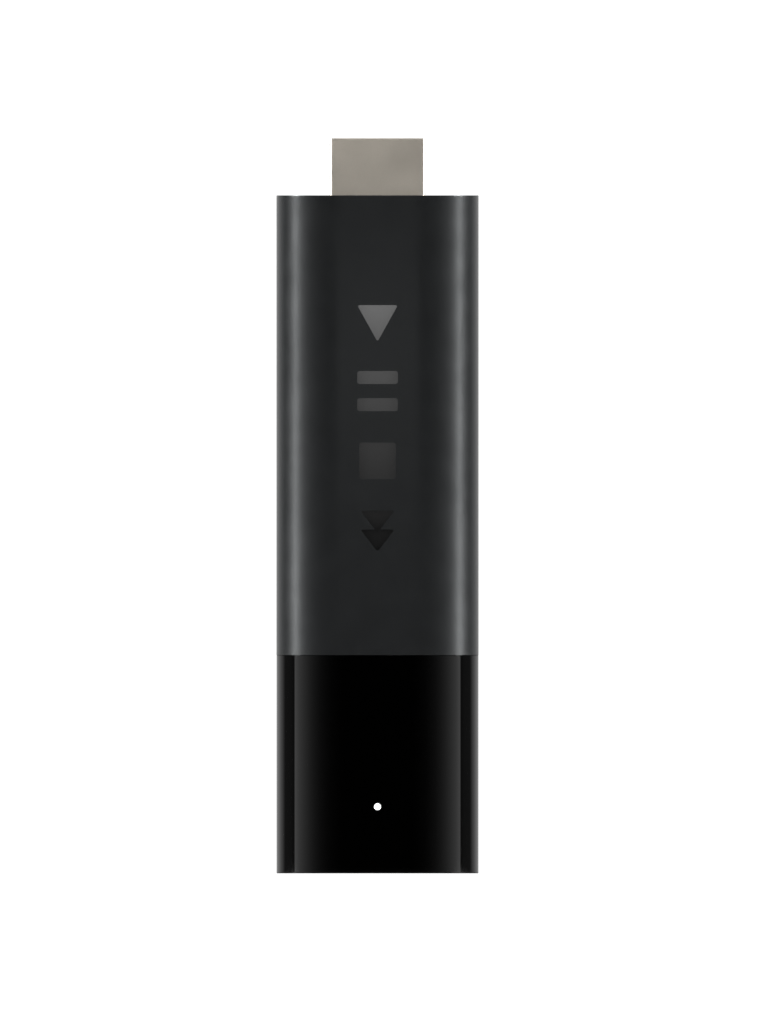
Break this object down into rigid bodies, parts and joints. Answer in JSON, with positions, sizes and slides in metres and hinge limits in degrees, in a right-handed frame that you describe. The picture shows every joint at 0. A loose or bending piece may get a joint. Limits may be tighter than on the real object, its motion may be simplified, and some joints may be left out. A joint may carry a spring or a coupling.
{
  "type": "streaming media player",
  "caption": "Slim stick with rounded sides: a matte sleeve with an audio-video plug at one end and a glossy cap with a status light and power socket at the other.",
  "frame": {"origin": "middle of the flat lower end face, the end opposite the plug", "axes": "+Z along the body towards the plug; the front face, with the status light and the pictograms, looks along -Y; X runs across the body's width"},
  "size_m": [0.0294, 0.0154, 0.1068],
  "materials": {
    "sleeve_plastic": "fine satin texture, near black",
    "cap_plastic": "polished, black",
    "light_pipe_plastic": "clear, lit white at its end",
    "gasket_foam": "closed-cell foam, black",
    "plug_plating": "satin nickel plating, warm grey",
    "plug_plastic": "moulded, black",
    "contact_gold": "gold plated",
    "tinned_steel": "tin plated",
    "socket_plastic": "moulded, black",
    "board_laminate": "green lacquer on glass-fibre laminate",
    "chip_package": "moulded package",
    "crystal_can": "satin can",
    "ferrite": "pressed ferrite, dark grey",
    "capacitor_body": "fired ceramic, tan with tinned ends",
    "resistor_body": "glazed black on white ceramic, tinned ends",
    "led_package": "white package",
    "antenna_metal": "stamped, plated",
    "thermal_pad": "soft, grey blue",
    "spreader_metal": "rolled sheet",
    "spacer_brass": "turned",
    "screw_steel": "zinc plated",
    "strip_foam": "open-cell foam, dark grey"
  },
  "bodies": {
    "root": {"sleeve": "sleeve_plastic", "end_cap": "cap_plastic", "light_pipe": "light_pipe_plastic", "light_gasket": "gasket_foam", "plug_shell": "plug_plating", "plug_insulator": "plug_plastic", "plug_contacts_front": "contact_gold", "plug_contacts_back": "contact_gold", "plug_bracket": "tinned_steel", "power_socket_shell": "tinned_steel", "power_socket_tongue": "socket_plastic", "power_socket_contacts": "contact_gold", "main_board": "board_laminate", "processor": "chip_package", "memory_chips": "chip_package", "flash_chip": "chip_package", "power_chips": "chip_package", "wireless_chip": "chip_package", "crystals": "crystal_can", "inductors": "ferrite", "bulk_capacitors": "capacitor_body", "small_capacitors": "capacitor_body", "small_resistors": "resistor_body", "status_led": "led_package", "antenna_left": "antenna_metal", "antenna_right": "antenna_metal", "shield_frame_front": "tinned_steel", "shield_lid_front": "tinned_steel", "shield_frame_back": "tinned_steel", "shield_lid_back": "tinned_steel", "wireless_shield": "tinned_steel", "processor_pad": "thermal_pad", "spreader_pad_front": "thermal_pad", "spreader_pad_back": "thermal_pad", "heat_spreader_front": "spreader_metal", "heat_spreader_back": "spreader_metal", "spacers": "spacer_brass", "screws": "screw_steel", "foam_strips": "strip_foam"}
  },
  "joints": []
}
